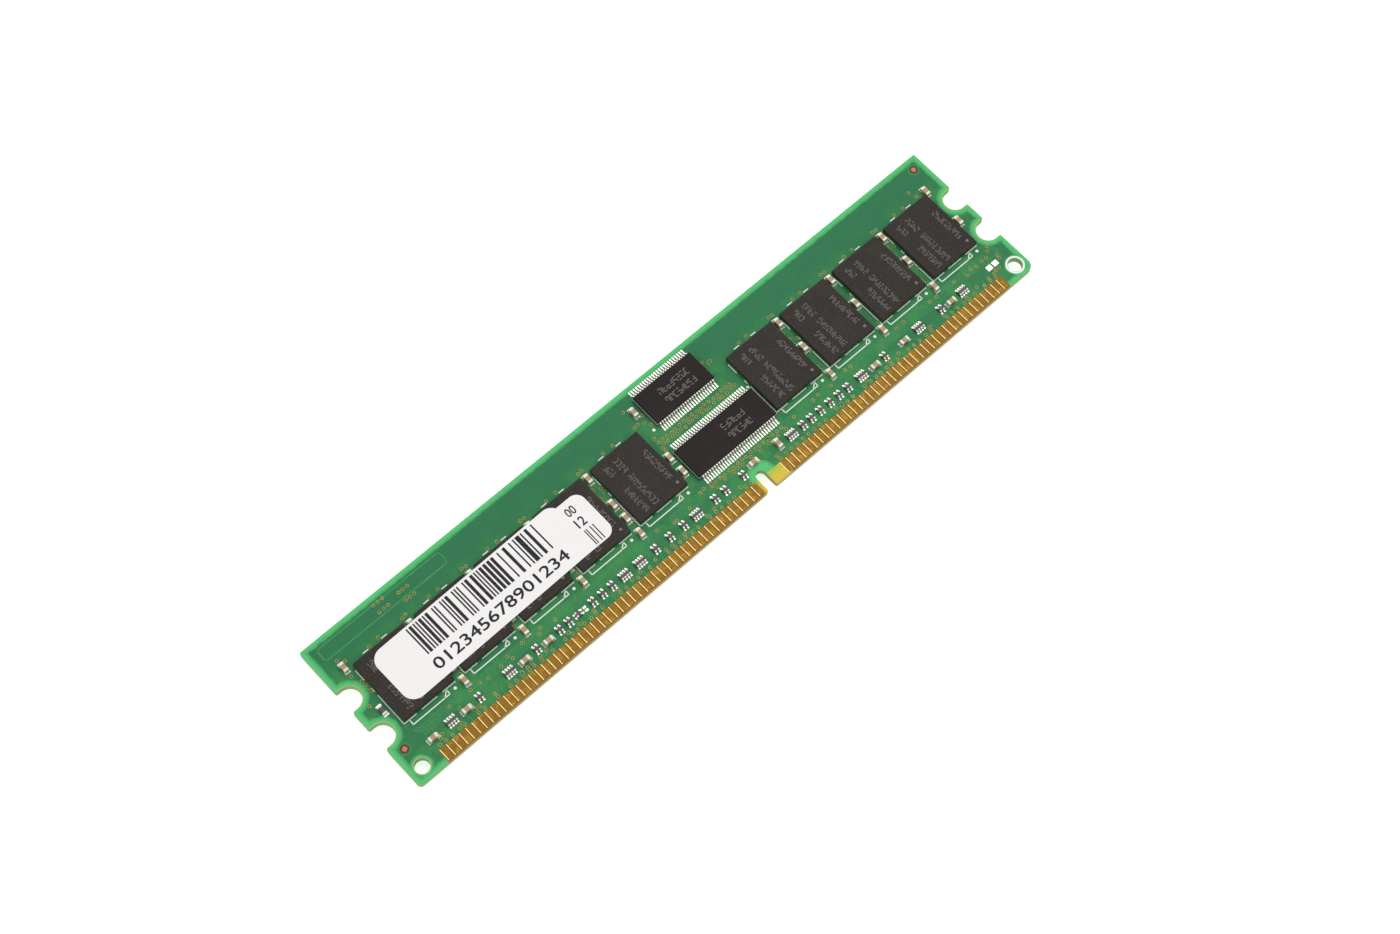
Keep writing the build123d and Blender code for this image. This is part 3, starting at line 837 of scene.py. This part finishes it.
def package_outline(name):
    """Printed lines round one memory package, broken where vias and copper interrupt them."""
    left, bottom, right, top = extent(name)
    left -= 0.17
    bottom -= 0.14
    shelf = bottom - 1.0
    corner = right - 1.9
    side = [[(left, bottom + a), (left, bottom + b)] for a, b in ((0, 6.2), (6.9, 7.7), (9.4, 11.5))]
    foot = [[(left + a, bottom), (left + b, bottom)] for a, b in ((0, 2.5), (3.5, 6.6))]
    foot.append([(left + 7.6, bottom), (right, bottom)])
    ledge = [[(left + 1.0, shelf + 0.9), (left + 1.0, shelf), (corner, shelf), (corner, shelf + 0.9)]]
    bevel = [[(corner - 1.0, shelf), (corner, shelf + 0.85)]]
    dashes = [[(left + a, top + 0.62), (left + a + 1.1, top + 0.62)] for a in (2.6, 6.3)]
    return side + foot + ledge + bevel + dashes


def make_legend(face):
    """White printed lines and dots, and the ring round the right hole."""
    layout = bpy.context.scene.module_layout
    mesh = bmesh.new()
    base = face_height(face)
    rise = outward(face) * LEGEND
    dots = [(65.9, 20.05) if face == "front" else (70.2, 20.4), (82.4, 15.55)]
    for number in PACKAGES:
        name = f"{face}_memory_chip_{number}"
        for line in package_outline(name):
            add_path(mesh, line, layout.line, base, rise)
        _, bottom, right, _ = extent(name)
        dots.append((right - 0.7, bottom - 0.95))
    for spot in dots:
        add_ring(mesh, place(*spot), 0, 0.26 * MM, base, rise)
    inset = layout.hole_inset / MM
    centre = place(2 * HALF_LENGTH - inset, inset)
    add_ring(mesh, centre, layout.hole_radius * 1.06, 1.66 * MM, base, rise, steps=48)
    finish_piece(f"{face}_legend", mesh, legend_material())


def separate_boxes(name):
    """Low and high corner of every separate solid in a CAD node."""
    mesh = bmesh.new()
    mesh.from_mesh(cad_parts[name].data)
    mesh.transform(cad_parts[name].matrix_world)
    bmesh.ops.remove_doubles(mesh, verts=mesh.verts, dist=0.001 * MM)
    waiting = dict.fromkeys(mesh.verts)
    boxes = []
    while waiting:
        solid = [waiting.popitem()[0]]
        for vert in solid:
            for edge in vert.link_edges:
                other = edge.other_vert(vert)
                if other in waiting:
                    del waiting[other]
                    solid.append(other)
        boxes.append([Vector(bound(v.co[i] for v in solid) for i in range(3)) for bound in (min, max)])
    mesh.free()
    return boxes


def make_solder_joints(face):
    """Sloped solder from each capacitor's end caps down to their pads."""
    mesh = bmesh.new()
    boxes = separate_boxes(f"{face}_capacitor_ends")
    base = face_height(face) + outward(face) * 0.05 * MM
    reach, rise = 0.27 * MM, 0.42 * MM
    slope = [(0, 0), (reach, 0), (0.38 * reach, 0.36 * rise), (0, rise)]
    up = Vector((0, 0, outward(face)))
    for pair in zip(boxes[0::2], boxes[1::2]):
        centre = sum((corner for box in pair for corner in box), Vector()) / 4
        for low, high in pair:
            middle = (low + high) / 2
            away = middle - centre
            axis = 0 if abs(away.x) > abs(away.y) else 1
            out = Vector((0, 0, 0))
            out[axis] = math.copysign(1, away[axis])
            start = middle + out * (high - low)[axis] / 2
            start.z = base
            turn = Matrix((out, up, out.cross(up))).transposed().to_4x4()
            half = (high - low)[1 - axis] / 2
            add_prism(mesh, slope, -half, half, Matrix.Translation(start) @ turn)
    solder = bright_metal(f"solder fillets {face}", bpy.context.scene.module_metal.solder, 0.15, 0.3, 0.2)
    finish_piece(f"{face}_solder_joints", mesh, solder, bevel=0.02 * MM)


# Cells of the stroke clusters on the memory packages and on the leaded ones.
SMALL_CELL = {"width": 0.42 * MM, "height": 0.95 * MM, "pitch": 0.72 * MM, "line": 0.12 * MM}
LARGE_CELL = {"width": 0.5 * MM, "height": 1.05 * MM, "pitch": 0.8 * MM, "line": 0.15 * MM}


def add_mark_line(mesh, corner, along, across, cell, count, gaps, base, rise, draw):
    """A line of stroke clusters as tall as print. They spell nothing; a cell may stay empty."""
    wide, tall = cell["width"], cell["height"]
    spots = ((0, 0), (wide, 0), (wide, tall / 2), (wide, tall), (0, tall), (0, tall / 2))
    pairs = ((0, 1), (1, 2), (2, 3), (3, 4), (4, 5), (5, 0), (5, 2))
    for number in range(count):
        if number in gaps:
            continue
        origin = corner + along * number * cell["pitch"]
        for start, end in draw.sample(pairs, 4):
            a, b = (origin + along * spots[i][0] + across * spots[i][1] for i in (start, end))
            add_stroke(mesh, a, b, cell["line"], base, rise)


def make_markings():
    """Pale laser marks: lines of strokes on every package, and a dot at the first terminal of each memory
    package.
    """
    mesh = bmesh.new()
    east, north = Vector((1, 0)), Vector((0, 1))
    # Each line's start from the package's left and bottom, its cells, and those left empty.
    lines = ((2.65, 0.9, 14, (7, 8, 9, 10)), (4.65, 0.9, 14, (9,)), (9.05, 2.5, 9, ()))
    for face in FACES:
        draw = random.Random(31)
        rise = outward(face) * PRINT
        for number in PACKAGES:
            low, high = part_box(f"{face}_memory_chip_{number}")
            base = high.z if face == "front" else low.z
            for x, y, count, gaps in lines:
                corner = Vector((low.x + x * MM, low.y + y * MM))
                add_mark_line(mesh, corner, north, -east, SMALL_CELL, count, gaps, base, rise, draw)
            add_ring(mesh, (high.x - 1.05 * MM, low.y + 1.25 * MM), 0, 0.27 * MM, base, rise)
    for name, x, count in (
        ("clock_chip", 3.9, 8), ("front_register", 8.6, 6), ("back_register", 3.9, 6), ("eeprom", 0.6, 2)
    ):
        draw = random.Random(41)
        low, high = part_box(f"{name}_body")
        base = high.z if LEADED[name] == "front" else low.z
        rise = outward(LEADED[name]) * PRINT
        for y in (0.9, 2.4) if name == "eeprom" else (1.45, 3.35):
            corner = Vector((low.x + x * MM, low.y + y * MM))
            add_mark_line(mesh, corner, east, north, LARGE_CELL, count, (), base, rise, draw)
    burnt = bpy.context.scene.module_package.marking
    marking = ink_material("laser marking", burnt, (0.10, 0.092, 0.085), 0.45)
    finish_piece("package_markings", mesh, marking)


def label_matrix(node, turn):
    """Where a label's middle is, turned as the label is."""
    low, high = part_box(node)
    middle = (low + high) / 2
    return Matrix.Translation((middle.x, middle.y, high.z)) @ Matrix.Rotation(math.radians(turn), 4, "Z")


def add_bars(mesh, matrix, left, right, bottom, top, module, draw):
    """Upright bars of uneven width that fill a strip of a label. They encode nothing."""
    spot = left
    while spot < right - 3 * module:
        width = module * draw.choice((1, 1, 1, 2, 2, 3))
        corners = [(spot, bottom), (spot + width, bottom), (spot + width, top), (spot, top)]
        add_prism(mesh, corners, 0, PRINT, matrix)
        spot += width + module * draw.choice((1, 1, 2, 3))


def add_digits(mesh, text, matrix, height, width):
    """Digits in the plain built-in typeface, fitted to a height and a width."""
    curve = bpy.data.curves.new("digits", "FONT")
    curve.body = text
    curve.extrude = 0.5
    curve.bevel_depth = 0.013
    curve.resolution_u = 3
    writer = bpy.data.objects.new("digits", curve)
    bpy.context.scene.collection.objects.link(writer)
    bpy.context.view_layer.update()
    data = bpy.data.meshes.new_from_object(writer)
    xs = [v.co.x for v in data.vertices]
    ys = [v.co.y for v in data.vertices]
    fit = Matrix.Diagonal((width / (max(xs) - min(xs)), height / (max(ys) - min(ys)), PRINT, 1))
    data.transform(matrix @ fit @ Matrix.Translation((-min(xs), -min(ys), 0.5)))
    mesh.from_mesh(data)
    bpy.data.objects.remove(writer)
    bpy.data.curves.remove(curve)
    bpy.data.meshes.remove(data)


def make_labels():
    """Paper on both labels, and generic print on each: bars that encode nothing and counting digits."""
    label = bpy.context.scene.module_label
    paper = paper_material()
    for node in ("main_label", "small_label"):
        paint(node, paper, bevel=0.015 * MM, segments=1)
    mesh = bmesh.new()
    draw = random.Random(label.seed)
    main = label_matrix("main_label", 0.85)
    add_bars(mesh, main, -11.9 * MM, 14.6 * MM, -0.65 * MM, 4.7 * MM, label.bar_module, draw)
    line = main @ Matrix.Translation((-12.4 * MM, -3.75 * MM, 0))
    add_digits(mesh, label.digits, line, 2.05 * MM, 27.4 * MM)
    small = label_matrix("small_label", 0.0)
    add_bars(mesh, small, 2.5 * MM, 5.0 * MM, -4.3 * MM, -1.2 * MM, label.small_module, draw)
    for text, rise, tall in (("00", 1.9, 1.6), ("12", -0.55, 1.7)):
        spot = small @ Matrix.Translation((2.3 * MM, rise * MM, 0))
        add_digits(mesh, text, spot, tall * MM, 1.75 * MM)
    ink = ink_material("label print", label.ink, (0.16, 0.16, 0.16), 0.15)
    finish_piece("label_print", mesh, ink)


# ---------------------------------------------------------------- stage


def make_floor():
    """A pale floor just under the module, clear from below so that the back face can be seen."""
    reach = 4.0
    mesh = bmesh.new()
    corners = ((-reach, -reach), (reach, -reach), (reach, reach), (-reach, reach))
    mesh.faces.new([mesh.verts.new((x, y, CAD_BOX[0].z - 0.03 * MM)) for x, y in corners])
    data = bpy.data.meshes.new("floor")
    mesh.to_mesh(data)
    mesh.free()
    finish = Finish("pale floor", specular=0.1)
    finish.colour(bpy.context.scene.module_stage.floor)
    finish.shader.inputs["Roughness"].default_value = 0.9
    finish.shader.inputs["Emission Color"].default_value = (1, 1, 1, 1)
    finish.shader.inputs["Emission Strength"].default_value = 0.6
    nodes, links = finish.tree.nodes, finish.tree.links
    sided = nodes.new("ShaderNodeMixShader")
    links.new(nodes.new("ShaderNodeNewGeometry").outputs["Backfacing"], sided.inputs[0])
    links.new(finish.shader.outputs[0], sided.inputs[1])
    links.new(nodes.new("ShaderNodeBsdfTransparent").outputs[0], sided.inputs[2])
    output = next(n for n in nodes if n.type == "OUTPUT_MATERIAL")
    links.new(sided.outputs[0], output.inputs["Surface"])
    data.materials.append(finish.material)
    floor = bpy.data.objects.new("floor", data)
    bpy.context.scene.collection.objects.link(floor)


def make_lights():
    settings = bpy.context.scene.module_stage
    world = bpy.data.worlds.new("white surroundings")
    world.use_nodes = True
    background = world.node_tree.nodes["Background"]
    background.inputs["Color"].default_value = (1, 1, 1, 1)
    background.inputs["Strength"].default_value = settings.sky
    bpy.context.scene.world = world
    for name, spot, size, power in (
        ("overhead soft light", (0.25, 0.18, 0.75), 0.6, settings.key),
        ("left fill light", (-0.55, -0.3, 0.5), 0.4, settings.key * 0.3),
    ):
        light = bpy.data.lights.new(name, "AREA")
        light.size = size
        light.energy = power
        lamp = bpy.data.objects.new(name, light)
        lamp.location = spot
        lamp.rotation_euler = (-Vector(spot)).to_track_quat("-Z", "Y").to_euler()
        bpy.context.scene.collection.objects.link(lamp)


def make_camera():
    """Looks down on the labelled face from the left end, with the board running down the frame's diagonal."""
    settings = bpy.context.scene.module_stage
    spot = Vector((-0.120940, -0.111108, 0.367532))
    forward = Vector((0.3036, 0.2684, -0.9142)).normalized()
    top = Vector((0.6106, 0.6818, 0.4030))
    right = forward.cross(top).normalized()
    top = right.cross(forward).normalized()
    data = bpy.data.cameras.new("camera")
    data.lens = settings.lens
    data.sensor_width = 36
    data.clip_start = 0.01
    data.clip_end = 20
    camera = bpy.data.objects.new("camera", data)
    turn = Matrix((right, top, -forward)).transposed()
    camera.matrix_world = Matrix.Translation(spot) @ turn.to_4x4()
    bpy.context.scene.collection.objects.link(camera)
    bpy.context.scene.camera = camera


# ---------------------------------------------------------------- operators


class MODULE_OT_effects(bpy.types.Operator):
    """Build the grain, smudge and streak effects that the finishes share"""

    bl_idname = "module.effects"
    bl_label = "Build Effects"

    def execute(self, context):
        build_grain_group()
        build_smudge_group()
        build_streak_group()
        return {"FINISHED"}


class MODULE_OT_board(bpy.types.Operator):
    """Finish the circuit board and its edge contacts"""

    bl_idname = "module.board"
    bl_label = "Finish Board"

    def execute(self, context):
        paint_board()
        return {"FINISHED"}


class MODULE_OT_packages(bpy.types.Operator):
    """Finish the memory packages, registers, clock chip and EEPROM"""

    bl_idname = "module.packages"
    bl_label = "Finish Packages"

    def execute(self, context):
        paint_packages()
        return {"FINISHED"}


class MODULE_OT_metal(bpy.types.Operator):
    """Finish leads, solder, pads, capacitors and resistors"""

    bl_idname = "module.metal"
    bl_label = "Finish Leads and Passives"

    def execute(self, context):
        paint_metal()
        return {"FINISHED"}


class MODULE_OT_surface(bpy.types.Operator):
    """Add vias, traces, alignment marks and printed legend to both faces"""

    bl_idname = "module.surface"
    bl_label = "Add Board Surface Detail"

    def execute(self, context):
        for face in FACES:
            make_vias(face)
            make_traces(face)
            make_marks(face)
            make_legend(face)
        return {"FINISHED"}


class MODULE_OT_joints(bpy.types.Operator):
    """Add solder fillets at the capacitors' ends"""

    bl_idname = "module.joints"
    bl_label = "Add Solder Fillets"

    def execute(self, context):
        for face in FACES:
            make_solder_joints(face)
        return {"FINISHED"}


class MODULE_OT_markings(bpy.types.Operator):
    """Add generic laser marks to the packages"""

    bl_idname = "module.markings"
    bl_label = "Add Package Marks"

    def execute(self, context):
        make_markings()
        return {"FINISHED"}


class MODULE_OT_labels(bpy.types.Operator):
    """Finish the labels and add generic print"""

    bl_idname = "module.labels"
    bl_label = "Finish Labels"

    def execute(self, context):
        make_labels()
        return {"FINISHED"}


class MODULE_OT_stage(bpy.types.Operator):
    """Add the pale floor, soft lights and camera"""

    bl_idname = "module.stage"
    bl_label = "Build Stage"

    def execute(self, context):
        make_floor()
        make_lights()
        make_camera()
        context.scene.view_settings.view_transform = "Standard"
        return {"FINISHED"}


OPERATORS = (
    MODULE_OT_effects,
    MODULE_OT_board,
    MODULE_OT_packages,
    MODULE_OT_metal,
    MODULE_OT_surface,
    MODULE_OT_joints,
    MODULE_OT_markings,
    MODULE_OT_labels,
    MODULE_OT_stage,
)

SETTINGS = {
    "module_board": BoardSettings,
    "module_metal": MetalSettings,
    "module_package": PackageSettings,
    "module_label": LabelSettings,
    "module_layout": LayoutSettings,
    "module_stage": StageSettings,
}


class MODULE_PT_panel(bpy.types.Panel):
    """Lists every step of the finish, with its settings"""

    bl_idname = "MODULE_PT_panel"
    bl_label = "Memory Module"
    bl_space_type = "VIEW_3D"
    bl_region_type = "UI"
    bl_category = "Module"

    def draw(self, context):
        for operator in OPERATORS:
            self.layout.operator(operator.bl_idname)
        for name, group in SETTINGS.items():
            box = self.layout.box()
            for key in group.__annotations__:
                box.prop(getattr(context.scene, name), key)


def register():
    for group in SETTINGS.values():
        bpy.utils.register_class(group)
    for name, group in SETTINGS.items():
        setattr(bpy.types.Scene, name, PointerProperty(type=group))
    for operator in OPERATORS:
        bpy.utils.register_class(operator)
    bpy.utils.register_class(MODULE_PT_panel)


def unregister():
    bpy.utils.unregister_class(MODULE_PT_panel)
    for operator in reversed(OPERATORS):
        bpy.utils.unregister_class(operator)
    for name in SETTINGS:
        delattr(bpy.types.Scene, name)
    for group in reversed(list(SETTINGS.values())):
        bpy.utils.unregister_class(group)


def main():
    register()
    for operator in OPERATORS:
        group, step = operator.bl_idname.split(".")
        getattr(getattr(bpy.ops, group), step)()
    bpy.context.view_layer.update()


if __name__ == "__main__":
    main()
